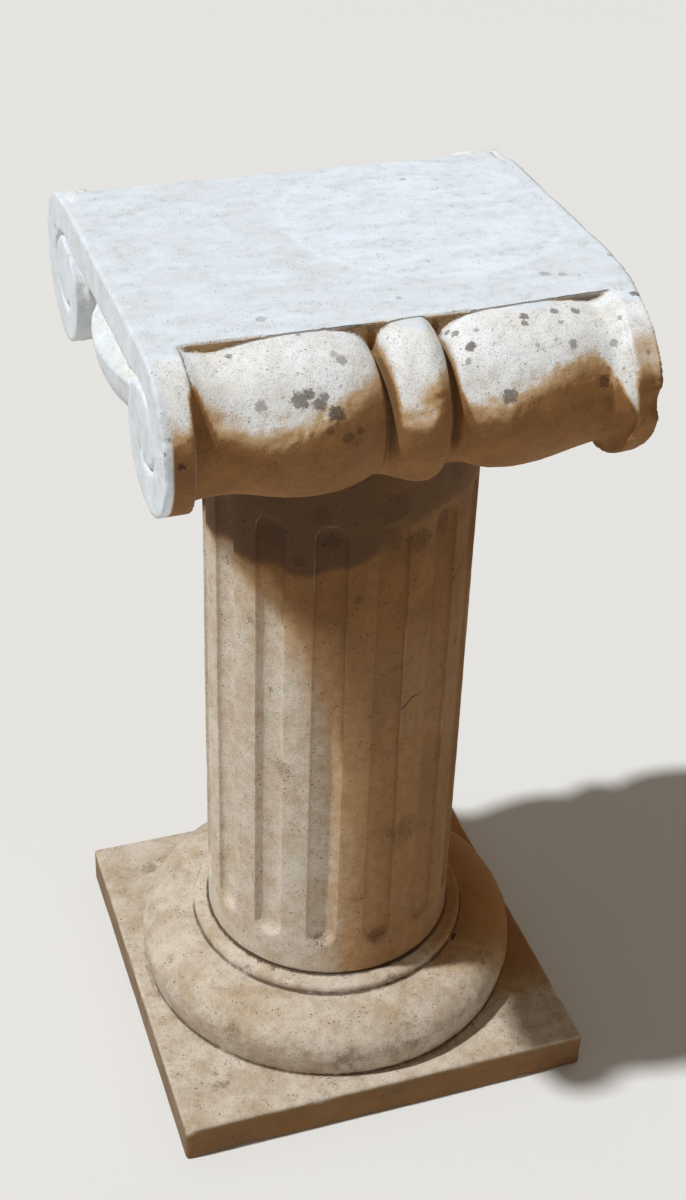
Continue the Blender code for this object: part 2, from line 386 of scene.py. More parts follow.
# The capital. x and y are measured from the shaft's axis and z from the top, all in millimetres.
capital = dict(
    leftFace=-175.4, rightFace=168.0, leftRim=20.3, rightIn=139.0, band=30.0, scroll=54.5, scrollOut=128.4,
    backSag=3.5, rollDrop=57.3, backRollDrop=2.6, rollEnd=150.0, plateBack=127.2, arris=174.0, arrisDrop=60.0,
    bowlReach=142.0, bed=max((capitalLow.z - topZ) * 1000, -110.0), reach=182.9, inset=0.12, grooveWidth=3.0,
    grooveDepth=3.4, clefts=(-26.0, 17.0), cleftWidth=5.0, cleftDepth=9.0, flankRadius=53.6, cell=2.05,
    limit=190000)
capital["lean"] = (capital["rightFace"] + capital["leftFace"]) / 2

# Radius of a roll along x at its front and underside, and at its top, where it comes up to the plate.
rollBelow = [
    (-156, 47.5), (-150, 45.8), (-144, 45), (-138, 44.8), (-131, 45), (-122, 45.8), (-111, 48.1),
    (-100, 50.6), (-90, 52.4), (-79, 53.5), (-68, 53.6), (-56, 52.6), (-46, 50.6), (-38, 48.2),
    (-32.5, 46), (-29, 45), (-26, 44), (-23, 45.5), (-18.5, 48.5), (-13, 51), (-6, 53.3), (1, 54.6),
    (6, 54), (10, 51.5), (13, 47.5), (17, 43), (20.5, 42.5), (25, 43.4), (32, 45.8), (40, 49.3),
    (49, 52.2), (60, 53.5), (72, 53.6), (85, 52.4), (98, 50.2), (110, 47.8), (120, 46), (129, 45),
    (134, 46), (137, 48.5), (142, 52)]
rollAbove = [
    (-156, 56.5), (-150, 53.5), (-146, 51.4), (-140, 50.0), (-132, 49.2), (-124, 50.2), (-113, 52.9),
    (-102, 55.0), (-86, 56.2), (-75, 56.3), (-59, 55.6), (-48, 54.4), (-42, 52.8), (-35, 49), (-30, 44),
    (-26, 39), (-23, 46), (-17.5, 53.8), (-9, 56.4), (7.8, 56.2), (12.3, 52), (15.5, 45), (18, 41.5),
    (21.4, 44.8), (25.4, 48.3), (36.5, 53.8), (53, 56), (68, 56.5), (97, 56), (109, 54.2), (121.6, 51.6),
    (130, 51.6), (136, 54.2), (142, 56.5)]
# The left and right scroll outline: its radius by the angle from the top, turning outwards.
scrollTurn = [
    (0, 54.5), (200, 54.5), (226, 53.0), (246, 49.5), (262, 46.0), (280, 42.0), (304, 35.6), (320, 30.0),
    (333, 25.7)]
# How far out the plate's front edge stands, along x.
plateFront = [
    (-160, 124.2), (-102, 125.8), (-75, 126.5), (-45, 126.8), (-8, 125.8), (26, 125.5), (70, 124.0),
    (123, 123.2), (150, 122.8)]
# The C-shaped nick in a volute face runs on from the band's lower edge and ends in a deep point.
grooveFront = [
    (96, -30.5), (111, -27.5), (124, -27.5), (136, -31), (144, -40), (148.5, -51), (151, -63), (147, -73),
    (135, -80), (123, -80.5), (116, -75)]
grooveBack = [
    (96, -31), (112, -29.5), (124, -30), (136, -35), (147, -43), (153.5, -55), (153, -67), (147, -78),
    (134, -84), (119, -86), (110, -80)]
# How much of the front right volute face is broken away, by the distance out from the middle.
lostFace = [
    (50, 0.0), (68, 0.6), (87, 2.0), (99, 3.4), (108, 4.9), (120.5, 7.8), (135, 11.2), (150, 12.0),
    (190, 12.0)]
# Radius of the bowl by height, up to its sharp edge.
bowlBelow = [
    (-118, 100.0), (-110, 108.0), (-107, 126), (-101, 148), (-93, 161.5), (-83, 169.2), (-71, 172.8),
    (-60, 174.0)]
# The crest along the inner edge of the front right scroll: depth below the top, and x there.
crestLine = ((0, 5, 17, 36, 62, 84, 112), (144, 136.5, 134.5, 136, 140, 138.5, 137))

# Chips: the middle and the radii of each.
capitalChips = [
    ((158.0, -190.2, -54.0), (16.0, 12.6, 13.5)),
    ((160.0, -170.0, -97.0), (9.0, 8.0, 5.0)),
    ((-175.4, -186.0, -46.0), (6.0, 3.0, 3.2)),
    ((-175.0, -184.5, -71.0), (4.5, 3.2, 2.6)),
    ((-176.0, -181.0, -35.0), (5.0, 2.6, 2.2)),
    ((-164.9, -184.6, -51.6), (1.8, 2.2, 1.6)),
    ((-176.0, 147.5, -36.0), (4.2, 2.6, 2.6)),
    ((-176.0, -140.0, 1.5), (5.0, 7.0, 2.6)),
    ((-177.0, 60.0, 1.0), (3.4, 12.0, 2.4)),
    ((-60.0, 129.5, 1.0), (16.0, 3.0, 2.6)),
    ((40.0, 129.5, 1.0), (22.0, 3.6, 3.0)),
    ((135.0, 130.0, 0.6), (9.0, 3.4, 3.4)),
    ((-40.0, -128.6, 1.2), (12.0, 2.6, 2.6)),
    ((63.0, -127.2, 1.0), (9.0, 2.8, 3.0)),
    ((168.5, 40.0, 1.0), (3.0, 15.0, 2.4)),
    ((168.5, -30.0, 1.2), (3.0, 9.0, 2.6)),
]


def nick(out, z, path, width, depth):
    # How deep a V-shaped nick along the path is at each point.
    away = np.full(len(out), 99.0)
    for (ay, az), (by, bz) in zip(path, path[1:]):
        dy, dz = by - ay, bz - az
        t = np.clip(((out - ay) * dy + (z - az) * dz) / (dy * dy + dz * dz), 0.0, 1.0)
        away = np.minimum(away, np.hypot(out - ay - t * dy, z - az - t * dz))
    ey, ez = path[-1]
    deeper = 1.0 + 0.7 * np.exp(-((out - ey) ** 2 + (z - ez) ** 2) / 20.0)
    return depth * deeper * np.clip(1.0 - away / width, 0.0, 1.0)


def voluteNick(y, z, width, depth):
    out = np.abs(y)
    return np.where(y < 0, nick(out, z, grooveFront, width, depth), nick(out, z, grooveBack, width, depth))


def rollRadius(x, up):
    return curve(rollBelow, x) * (1.0 - up) + curve(rollAbove, x) * up


def capitalFaces(x, y, z):
    # The volute faces with the band between them: an outline in y and z that has a thickness in x.
    c = capital
    front, out = y < 0, np.abs(y)
    sag = np.where(y > 0, c["backSag"], 0.0)
    cy, cz = out - c["scrollOut"], z + c["scroll"] + sag
    turn = np.degrees(np.arctan2(cy, cz)) % 360.0
    scroll = np.hypot(cy, cz) - curve(scrollTurn, turn)
    band = np.maximum(np.maximum(z + sag * smooth(100.0, 128.0, out), -c["band"] - z), cy)
    outline = join(scroll, band, 1.2)
    leftIn = c["leftFace"] + c["leftRim"] + 3.0 * smooth(-30.0, 0.0, z) * smooth(100.0, 130.0, out)
    rightIn = c["rightIn"] + 6.8 * smooth(-30.0, -2.0, z) * smooth(165.0, 122.0, out)
    rightIn = np.where(front, np.interp(-z, *crestLine), rightIn - 2.0 * smooth(-60.0, -100.0, z))
    nicked = np.zeros(len(x))
    near = (x < c["leftFace"] + 9) | (x > c["rightFace"] - 9)
    if near.any():
        nicked[near] = voluteNick(y[near], z[near], c["grooveWidth"], c["grooveDepth"])
    left = common(outline, np.maximum(c["leftFace"] + nicked - x, x - leftIn), 1.4)
    # The worn front right face has no nick left, and its rim falls away from the inner crest.
    lost = np.where(front, curve(lostFace, out), nicked)
    fall = (np.clip(0.16 * (x - 138.0), 0.0, 1.8) - 1.6) * smooth(-2.0, -14.0, z) * front
    right = common(outline + fall, np.maximum(rightIn - x, x - (c["rightFace"] - lost)), 1.0)
    return join(left, right, 1.0)


def capitalPlate(x, y, z):
    c = capital
    front = np.where(y < 0, curve(plateFront, x), c["plateBack"])
    ends = np.maximum(c["leftFace"] + 8.0 - x, x - c["rightFace"] + 10.0)
    return np.maximum(np.maximum(np.abs(y) - front, -c["band"] - z), ends)


def capitalBowl(x, y, z):
    # Under its sharp edge the bowl is a full curve, and over it a rough slope. The factors bring each field
    # close to a true distance.
    c = capital
    r = np.hypot(x - c["lean"], y)
    below = (r - curve(bowlBelow, z)) * 0.62
    above = (r - c["arris"] + (z + c["arrisDrop"]) * 0.92) * 0.74
    bowl = common(np.maximum(below, c["bed"] - z), above, 0.8)
    return np.maximum(np.maximum(bowl, z + 20.0), np.abs(y) - c["bowlReach"])


def capitalRolls(x, y, z):
    # The rolls have one radius below and another where they meet the plate, and sharp clefts beside the pod.
    c = capital
    front = y < 0
    ry, rz = np.abs(y) - c["scrollOut"], z + np.where(front, c["rollDrop"], c["rollDrop"] + c["backRollDrop"])
    lift = rz / np.maximum(np.hypot(ry, rz), 1.0)
    up = smooth(0.45, 0.97, lift) * front
    radius = rollRadius(x, up)
    for place in c["clefts"]:
        sharp = np.clip(1.0 - np.abs(x - place) / c["cleftWidth"], 0.0, 1.0)
        radius = radius - c["cleftDepth"] * sharp * smooth(-0.8, -0.2, lift) * (1.0 - 0.5 * up)
    flank = smooth(125.0, 135.5, x) * smooth(-0.35, -0.05, lift) * front
    radius = radius + np.maximum(c["flankRadius"] - radius, 0.0) * flank
    roll = (np.hypot(ry, rz) - radius) * 0.82
    return np.maximum(roll, np.maximum(c["leftFace"] + 9.0 - x, x - c["rollEnd"]))


def capitalWear(p):
    # How much of the stone is gone: pecked and weathered all over, less on the top and the left face, and
    # chipped along the left scroll's rim and the top's back edge.
    x, y, z = p.T
    leftFace = capital["leftFace"]
    calm = np.maximum(smooth(-3.0, -0.5, z), smooth(leftFace + 2.5, leftFace + 0.5, x) * 0.9)
    rough = smooth(-26.0, -32.0, z) * smooth(-62.0, -58.0, z) * smooth(130.0, 112.0, np.abs(y))
    peck = (grain(p, 3.2, 3) * 0.16 + grain(p, 7.5, 4) * 0.22) * (1.0 + 1.6 * rough)
    loss = (0.30 + peck + grain(p, 26.0, 5) * 0.45) * (1.0 - calm * 0.82)
    rim = np.exp(-((x - leftFace) / 2.6) ** 2) * smooth(-24.0, -48.0, z) * smooth(-140.0, -165.0, y)
    nibble = np.maximum(grain(p, 5.0, 8) * 1.3 + grain(p, 2.6, 9) * 0.8, 0.0) * rim
    back = smooth(121.0, 126.0, y) * smooth(-9.0, -1.0, z) * smooth(20.0, 45.0, x) * smooth(128.0, 105.0, x)
    broken = np.maximum(grain(p, 9.0, 10) * 1.6 + grain(p, 4.0, 7), 0.0) * back
    return np.maximum(loss, 0.0) + nibble + broken


def capitalField(p):
    x, y, z = p.T
    body = join(join(capitalPlate(x, y, z), capitalBowl(x, y, z), 1.0), capitalFaces(x, y, z), 1.0)
    # The rolls run out into the scroll faces in a soft cove low down, and meet them sharply higher up.
    body = join(body, capitalRolls(x, y, z), 0.8 + 5.0 * smooth(-62.0, -96.0, z))
    # The top is one plane, and its edges are worn a little round.
    body = np.maximum(common(body, z + capital["inset"], 1.2), np.abs(y) - capital["reach"])
    near = np.abs(body) < 7.0
    if near.any():
        body[near] += capitalWear(p[near])
    for middle, radii in capitalChips:
        body = cut(body, dent(p, middle, radii), 1.2)
    return body


def shade(points, normals, field, reach):
    # How closed in a point is: the room that the field leaves along its normal at three distances.
    total = np.zeros(len(points))
    for k, away in enumerate((0.25, 0.55, 1.0)):
        room = np.maximum(field(points + normals * away * reach), 0.0) / (away * reach)
        total += (1.0 - np.clip(room, 0.0, 1.0)) * (0.5, 0.3, 0.2)[k]
    return total


def ridges(points, normals, field, reach):
    # Where stone falls away on all sides, as on an edge.
    depth = -field(points - normals * reach) / reach
    return np.clip(1.0 - depth, 0.0, 1.0)


# For each end of the front roll that gets a painted cast shadow: where it starts, and depths below the top
# with the shadow line's x there.
castShadowEnds = [
    (-155.5, (10, 24, 40, 52), (-150, -145, -139, -134)),
    (-30.0, (17, 23, 39, 60), (-28, -26.5, -24, -18)),
    (14.0, (8, 21, 35, 54), (17, 18, 22, 30))]


def makeCapital():
    c = capital
    points, faces = skin(capitalField, (-182.3, -189.3, -117.0), (176.0, 189.0, 5.0), c["cell"])
    normals = outward(points, faces)
    x, y, z = points.T
    shadeAndDirt = shade(points, normals, capitalField, 16.0)
    ridge = ridges(points, normals, capitalField, 3.0)
    # Brown where the surface looks down or to the right: partly real patina away from the weather, partly
    # painted shade on the side turned from the key light, and none on the top or the side faces. The back
    # scroll on the left is clean further down.
    turnedFromLight = np.clip(-0.8 * normals[:, 0], -0.5, np.where(x > 100.0, 0.06, 0.18))
    rainAndLight = 0.9 * normals[:, 2] + turnedFromLight + 0.5 * (y > 60.0) * (x < -150.0)
    low = smooth(0.62, 0.10, rainAndLight) * smooth(-8.0, -42.0, z)
    sideFace = smooth(0.6, 0.95, np.abs(normals[:, 0])) * smooth(150.0, 166.0, np.abs(x))
    r = np.hypot(x - c["lean"], y)
    underBowl = smooth(0.1, -0.05, normals[:, 2]) * (r > 150.0) * (x < -60.0) * (np.abs(y) < 100.0)
    # The plate's front face over the rolls: patina, and painted shade under the plate's edge.
    wallPatinaAndShade = smooth(0.55, 0.9, np.abs(normals[:, 1])) * smooth(-0.6, -2.0, z) * smooth(-16.0, -10.0, z)
    wallPatinaAndShade = wallPatinaAndShade * smooth(152.0, 148.0, np.abs(x - 2.0)) * smooth(131.0, 129.0, np.abs(y))
    # Painted shade in the clefts beside the pod.
    clefts = np.exp(-((x + 26.5) / 3.2) ** 2) + np.exp(-((x - 17.0) / 2.6) ** 2)
    clefts = clefts * smooth(-1.5, -5.0, z) * (np.abs(y) > 124.0) * (0.4 + 0.6 * smooth(-6.0, -10.0, z))
    # Painted shade in the closed-in corners low down, such as the scroll rim's shadow on the roll.
    nookShadow = smooth(0.30, 0.62, shadeAndDirt) * smooth(-14.0, -34.0, z) * (1.0 - 0.95 * (y > 60.0) * (x < -135.0))
    # A painted cast shadow on the left end of each part of the front roll: brown up to a slanting line.
    shadowWeight = np.zeros(len(x))
    for inner, depths, ends in castShadowEnds:
        line = np.interp(-z, depths, ends)
        below = smooth(-depths[0], -depths[0] - 6.0, z)
        shadowWeight = np.maximum(shadowWeight, smooth(line + 1.6, line - 1.6, x) * (x > inner) * (y < -100.0) * below)
    # The front right scroll: a pale flank that ends in a point, a crest, and a browner rim outside it. The
    # pale flank is painted light where it faces the key light, and the rim's brown is patina and painted
    # shade.
    crest = np.interp(-z, *crestLine)
    start = np.interp(-z, (24, 35, 49, 62), (116.0, 126.0, 132.0, 140.5))
    rightFront = (y < -100.0) * smooth(-1.0, -6.0, z)
    flank = smooth(start - 1.0, start + 2.0, x) * smooth(crest + 1.8, crest - 0.4, x) * rightFront
    flank = flank * smooth(-65.0, -61.0, z)
    rimAt = smooth(crest, crest + 3.0, x) * rightFront
    rimAt = rimAt * (0.35 * smooth(-3.0, -18.0, z) + 0.45 * smooth(-30.0, -60.0, z))
    patinaAndShade = 1.1 * low * (1.0 - sideFace) * (1.0 - 0.85 * underBowl) + 0.75 * nookShadow + 0.5 * wallPatinaAndShade + clefts
    blush = 0.42 * np.exp(-((x + 2.0) / 8.0) ** 2 - ((z + 31.0) / 9.0) ** 2) * (y < -100.0)
    patinaAndShade = np.maximum(patinaAndShade + blush, shadowWeight)
    # The right face, turned from the key light, is browned with patina and painted shade.
    rightFace = 0.45 * smooth(150.0, 162.0, x) * smooth(-3.0, -24.0, z) * smooth(0.4, 0.8, normals[:, 0])
    patinaAndShade = np.maximum(patinaAndShade, rimAt) + rightFace
    patinaAndShade = patinaAndShade * (1.0 - 0.95 * flank)
    onFace = x < c["leftFace"] + 4.5
    patinaAndShade = np.where(onFace & (z < -1.0), 0.0, patinaAndShade)
    ridge = ridge * (1.0 - np.exp(-((x + 155.0) / 5.0) ** 2) * smooth(-40.0, -55.0, z))
    # Painted shade in the nicks, darkest in their deep ends, a pale line of painted highlight on the bowl's
    # sharp edge, and the stone that the rain washes.
    out = np.abs(y)
    cutAt = voluteNick(y, z, 3.4, 1.0)
    ends = np.exp(-(np.hypot(out - 116.0, z + 75.0) / 4.0) ** 2) * (y < 0)
    ends = ends + np.exp(-(np.hypot(out - 111.0, z + 80.0) / 4.0) ** 2) * (y > 0)
    cutAt = cutAt * (0.42 + 0.7 * ends)
    arris = smooth(2.6, 0.6, np.hypot(r - c["arris"] + 0.8, z + c["arrisDrop"] + 0.5)) * (out < 120.0)
    washed = np.maximum(smooth(0.80, 0.97, normals[:, 2]) * smooth(-1.6, -0.8, z), 0.75 * sideFace * (x < 0))
    washed = np.maximum(washed, np.where(onFace, 0.8, 0.75 * underBowl))
    layers = {
        "patinaAndShade": np.clip(patinaAndShade, 0, 1.15),
        "shadeAndDirt": np.where(onFace, cutAt, np.maximum(shadeAndDirt, wallPatinaAndShade * 0.5)),
        "ridge": np.maximum(ridge, arris), "rain": washed}
    return piece("carved_capital", points, faces.tolist(), topZ * 1000, layers, c["limit"])


# The shaft. Its surface is a grid of angle and height, and each flute is a round groove with round ends.
shaft = dict(
    radius=103.2, low=shaftLow.z * 1000, high=shaftHigh.z * 1000, count=14, width=24.0, depth=6.6, foot=33.0,
    head=60.0, turn=4.35, wear=1.2, rows=228, limit=190000)
shaft["pitch"] = 2 * math.pi / shaft["count"]
shaft["start"] = math.radians(shaft["turn"] - 90.0)


def fluteCut(angle, z):
    # How deep the groove is: a circle's arc across it, which narrows to nothing over its rounded ends. Also
    # how far away its middle line is, with 1 at its edge.
    s = shaft
    half = s["width"] / 2
    across = ((angle - s["start"] + s["pitch"] / 2) % s["pitch"] - s["pitch"] / 2) * s["radius"]
    low, high = s["low"] + s["foot"] + half, s["high"] - s["head"] - half
    along = np.maximum(np.maximum(low - z, z - high), 0.0)
    away = np.hypot(across, along) / half
    return s["depth"] * np.sqrt(np.clip(1.0 - away * away, 0.0, 1.0)) ** 0.95, away


def shaftRings(angle, z, side):
    # Rings of points from the bottom up, with two on each flat end, and a point in the middle of each end.
    s = shaft
    turns = len(angle)
    inner, outer = np.full(turns, s["radius"] * 0.5), np.full(turns, s["radius"] - s["wear"])
    reach = np.vstack([inner, outer, side, outer, inner])
    height = np.concatenate([[s["low"]] * 2, z, [s["high"]] * 2])[:, None] + 0.0 * reach
    rings = np.stack([np.cos(angle) * reach, np.sin(angle) * reach, height], -1).reshape(-1, 3)
    points = np.concatenate([rings, [[0, 0, s["low"]], [0, 0, s["high"]]]])
    k = np.arange(turns)
    n = (k + 1) % turns
    last = (len(reach) - 1) * turns
    quads = [np.stack([i + k, i + n, i + turns + n, i + turns + k], 1) for i in range(0, last, turns)]
    faces = np.concatenate(quads).tolist()
    faces += [[last + turns, b, a] for a, b in zip(k.tolist(), n.tolist())]
    faces += [[last + turns + 1, last + a, last + b] for a, b in zip(k.tolist(), n.tolist())]
    return points, faces


def makeShaft():
    s = shaft
    # Columns of the grid stand closest at the edges of the flutes.
    half = s["width"] / 2
    steps = np.concatenate([np.array([0.18, 0.37, 0.53, 0.68, 0.81, 0.90, 0.96, 0.993]) * half,
                            half + np.array([0.15, 0.9, 2.6, 5.2, 8.2])])
    steps = np.concatenate([-steps[::-1], [0.0], steps, [s["pitch"] * s["radius"] / 2]]) / s["radius"]
    angle = (np.arange(s["count"])[:, None] * s["pitch"] + steps[None, :]).ravel() + s["start"]
    z = np.linspace(s["low"] + s["wear"], s["high"] - s["wear"], s["rows"])
    a, zz = np.meshgrid(angle, z)
    deep, away = fluteCut(a, zz)
    flat = np.stack([np.cos(a) * s["radius"], np.sin(a) * s["radius"], zz], -1).reshape(-1, 3)

    def patches(size, seed, squash=1.0):
        return grain(flat * [1, 1, squash], size, seed).reshape(a.shape)

    wave = patches(40.0, 11) * 0.35 + patches(12.0, 12) * 0.22 + patches(4.5, 13) * 0.12
    # The edges between flutes are knocked down in places, and the feet of the flutes are worn shallow.
    edge = np.exp(-((away - 1.0) / 0.16) ** 2) * smooth(-0.1, 0.6, patches(16.0, 14, 0.5))
    foot = 0.14 * smooth(s["low"] + 75, s["low"] + 30, zz) * smooth(-0.6, 0.4, patches(55.0, 15))
    side = s["radius"] - 0.25 - deep * (1.0 - foot) - 0.5 * edge - np.maximum(wave, -0.2) * 0.7
    points, faces = shaftRings(angle, z, side)
    # Painted shade along the flutes' edges and in their heads, a dark joint at the foot, and a near black
    # painted shadow of the capital, lowest on the left.
    edges = np.exp(-((away - 0.93) / 0.07) ** 2) * 0.52
    heads = smooth(0.95, 0.5, away) * smooth(s["high"] - 104, s["high"] - 80, zz) * 0.62
    joint = 0.8 * smooth(s["low"] + 5, s["low"] + 0.5, zz)
    shadowWeight = np.cos(a - math.radians(-165))
    line = 104.0 - 44.0 * smooth(0.75, -0.2, shadowWeight)
    capitalShadow = smooth(-line - 12.0, -line + 8.0, zz - s["high"]) * (0.66 + 0.24 * smooth(0.0, 0.7, shadowWeight))
    shadeAndDirt = np.maximum(np.maximum(edges, joint), np.maximum(heads, capitalShadow))
    ends = np.maximum(smooth(s["high"] - 82, s["high"] - 66, zz), smooth(s["low"] + 54, s["low"] + 38, zz))
    ridge = np.exp(-((away - 1.03) / 0.08) ** 2) * (0.22 + 0.45 * edge + 0.10 * ends)
    # Browner at the front and right, in a field that reaches further to the left near the capital: patina,
    # and painted shade along a cast shadow's slanting edge and under the capital.
    height = points[:, 2]
    facing = np.cos(np.arctan2(points[:, 1], points[:, 0]) - math.radians(-42))
    start = np.interp(s["high"] - height, (0, 120, 156, 220, 290, 340), (-0.6, -0.34, 0.03, 0.2, 0.3, 0.36))
    shadeUnder = 0.45 * smooth(s["high"] - 210, s["high"] - 40, height) * smooth(-0.7, 0.2, facing)
    shadeCrown = 0.5 * smooth(s["high"] - 120, s["high"] - 90, height)
    patinaAndShade = 0.14 + 0.64 * smooth(start - 0.12, start + 0.5, facing) + shadeUnder + shadeCrown
    # The flat ends have neither dirt, painted shade nor pale edges.
    below, above = np.zeros(2 * len(angle)), np.zeros(2 * len(angle) + 2)
    layers = {
        "patinaAndShade": patinaAndShade, "shadeAndDirt": np.concatenate([below, shadeAndDirt.ravel(), above]),
        "ridge": np.concatenate([below, ridge.ravel(), above])}
    return piece("fluted_shaft", points, faces, 0.0, layers, s["limit"])


# The base: plinth, torus and ring in one stone, in millimetres from the ground.
base = dict(
    half=172.5, thick=34.0, reach=161.0, width=40.0, rise=25.5, mid=25.0, ring=115.8, ringTop=104.0,
    ringHeight=8.5, top=baseHigh.z * 1000, cell=2.3, limit=170000)
# Radius of the torus by height, up to its widest place.
torusShape = [(30.0, 156.6), (34.0, 157.6), (40.0, 158.9), (47.0, 160.1), (53.0, 160.8), (59.0, 161.0)]

baseChips = [
    ((-172.0, -172.0, 34.0), (7.0, 6.0, 5.0)),
    ((-60.0, -173.0, 35.0), (14.0, 4.0, 3.6)),
    ((70.0, -173.0, 34.5), (9.0, 3.4, 3.0)),
    ((120.0, -174.0, 2.0), (12.0, 4.0, 4.0)),
    ((-120.0, -174.0, 0.0), (16.0, 4.0, 4.0)),
    ((-173.0, 20.0, 34.0), (3.6, 16.0, 3.8)),
    ((-173.0, 110.0, 34.0), (3.6, 9.0, 3.0)),
    ((173.0, -120.0, 34.0), (4.0, 10.0, 3.8)),
]


def baseField(p):
    b = base
    x, y, z = p.T
    dx, dy = np.abs(x) - b["half"], np.abs(y) - b["half"]
    plinth = common(common(dx, dy, 2.4), np.maximum(z - b["thick"], -z), 2.6)
    r = np.hypot(x, y)
    torusZ = b["thick"] + b["mid"]
    beyond = np.maximum(r - (b["reach"] - b["width"]), 0.0) / b["width"]
    upper = (np.hypot(beyond, np.maximum(z - torusZ, 0.0) / b["rise"]) - 1.0) * b["rise"] * 0.9
    torus = np.where(z > torusZ, upper, r - curve(torusShape, np.clip(z, 30.0, 59.0)))
    torus = np.maximum(torus, z - torusZ - b["rise"])
    ringZ = torusZ + b["rise"]
    lip = ringZ - 1.0 + b["ringHeight"]
    slant = (b["ring"] - r) * (b["top"] - lip) / (b["ring"] - b["ringTop"])
    ring = common(r - b["ring"], np.maximum(z - lip - slant, z - b["top"]), 1.6)
    body = join(join(plinth, np.maximum(torus, 10.0 - z), 0.8), np.maximum(ring, 20.0 - z), 0.8)
    near = np.abs(body) < 7.0
    if near.any():
        q = p[near]
        calm = 0.45 + 0.55 * smooth(b["thick"] - 1.0, b["thick"] + 4.0, q[:, 2])
        wave = (grain(q, 34.0, 21) * 0.5 + grain(q, 11.0, 22) * 0.3 + grain(q, 4.0, 23) * 0.16) * calm
        edge = smooth(0.1, 0.7, grain(q, 18.0, 24)) * np.exp(-((q[:, 2] - lip + 1.5) / 2.6) ** 2) * 1.6
        floor = smooth(0.0, 3.0, q[:, 2])
        body[near] += np.maximum(0.35 + wave, 0.0) * floor + edge * (r[near] > 105)
    for middle, radii in baseChips:
        body = cut(body, dent(p, middle, radii), 1.4)
    return body


def makeBase():
    points, faces = skin(baseField, (-177.1, -177.1, -4.1), (177.0, 177.0, 100.0), base["cell"])
    normals = outward(points, faces)
    x, y, z = points.T
    shadeAndDirt = shade(points, normals, baseField, 12.0)
    ridge = ridges(points, normals, baseField, 3.0)
    r = np.hypot(x, y)
    # Darker where the ring meets the shaft: the joint, and painted shade.
    shadeAndDirt = np.maximum(shadeAndDirt, smooth(107.0, 103.8, r) * smooth(86.0, 92.0, z) * 0.9)
    # Brown on the plinth's sides, most on the front: patina, and painted shade on the unlit front.
    low = smooth(0.35, -0.25, normals[:, 2])
    frontSide = low * smooth(36.0, 31.0, z) * (0.85 + 0.35 * smooth(-150.0, -171.0, y))
    # Painted shadow of the shaft on the right behind it, and painted shade in the low corners.
    shaftShadow = smooth(0.0, 110.0, x) * smooth(-130.0, -60.0, y)
    patinaAndShade = 0.12 + frontSide + 0.85 * shaftShadow + 0.45 * smooth(0.45, 0.8, shadeAndDirt) * (z < 60.0)
    layers = {"patinaAndShade": np.clip(patinaAndShade, 0, 1.1), "shadeAndDirt": shadeAndDirt, "ridge": ridge}
    return piece("moulded_base", points, faces.tolist(), 0.0, layers, base["limit"])


# Blotches of lichen. On the rolls: x, degrees forward from the top, radius in millimetres, strength.
rollLichen = [
    (-86, 52, 6, 0.9), (-81, 49, 4, 0.9), (-75, 56, 4.5, 0.9), (-71, 52, 3, 0.8), (-65, 64, 5.5, 1.0),
    (-111, 52, 4, 0.6), (-55, 28, 4, 0.65), (-59, 23, 2.5, 0.5), (-122, 7, 2.5, 0.7), (-58, 81, 4, 0.6),
    (-50, 78, 3, 0.6), (-70, 74, 3, 0.6), (31, 28, 3.6, 0.95), (72, 12, 3.2, 0.9), (70, 18, 2.8, 0.8),
    (23, 4, 2.5, 0.8), (26, 11, 2.8, 0.8), (38, 17, 2, 0.6), (94, 10, 3.4, 0.8), (109, 10, 3.4, 0.8),
    (98, 38, 3.4, 0.7), (50, 68, 5, 0.9), (28, 38, 2.4, 0.6), (119, 67, 4.5, 0.8), (94, 21, 2, 0.6),
    (128, 39, 3, 0.6), (136, 22, 2, 0.6), (73, 36, 1.6, 0.5)]
# On the top and on the scroll faces' rims, with z from the top, and on the shaft and base, with z from the
# ground: x, y, z, radius, strength.
topLichen = [
    (73, 91, 0, 2.6, 0.45), (2, -98, 0, 2.4, 0.4), (-92, -104, 0, 4, 0.4), (109, -88, 0, 4, 0.45),
    (120, -92, 0, 3, 0.45), (165, -71, 0, 2.6, 0.5), (-76, -129, -1, 2, 0.6), (154, -131, -1, 3.4, 0.9),
    (139, -165, -18, 1.8, 0.6), (147, -172, -22, 1.8, 0.6), (-171, -180, -34, 1.6, 0.6),
    # The last blotch is painted shade in the small chip on the left scroll's rim.
    (-175, -182, -42, 1.6, 0.7), (-165, -184, -52, 3, 1.0)]
shaftStains = [
    (29, -99, 239, 15, 0.45), (-66, -76, 305, 10, 0.4), (-58, -85, 501, 5, 0.65), (27, -99, 512, 10, 0.6),
    (-18, -101, 471, 4, 0.7), (-96, -24, 469, 4, 0.5), (-86, -57, 436, 3, 0.5), (70, -75, 400, 4, 0.6),
    (-73, -65, 375, 3, 0.5), (-37, -93, 516, 8, 0.75), (-44, -93, 541, 8, 0.5), (5, -102, 545, 12, 0.5),
    (60, -83, 560, 13, 0.5), (-74, -70, 512, 12, 0.5), (-70, -75, 560, 13, 0.4), (48, -91, 300, 6, 0.5),
    (-10, -103, 180, 6, 0.35), (10, -102, 130, 9, 0.45), (-37, -92, 131, 6, 0.5)]
shaftCracks = [
    [(15.5, -101.8, 359.5), (28.2, -98.9, 371.6), (47.7, -91.0, 373.3)],
    [(59.5, -84.0, 460.6), (71.2, -74.4, 469.6)]]
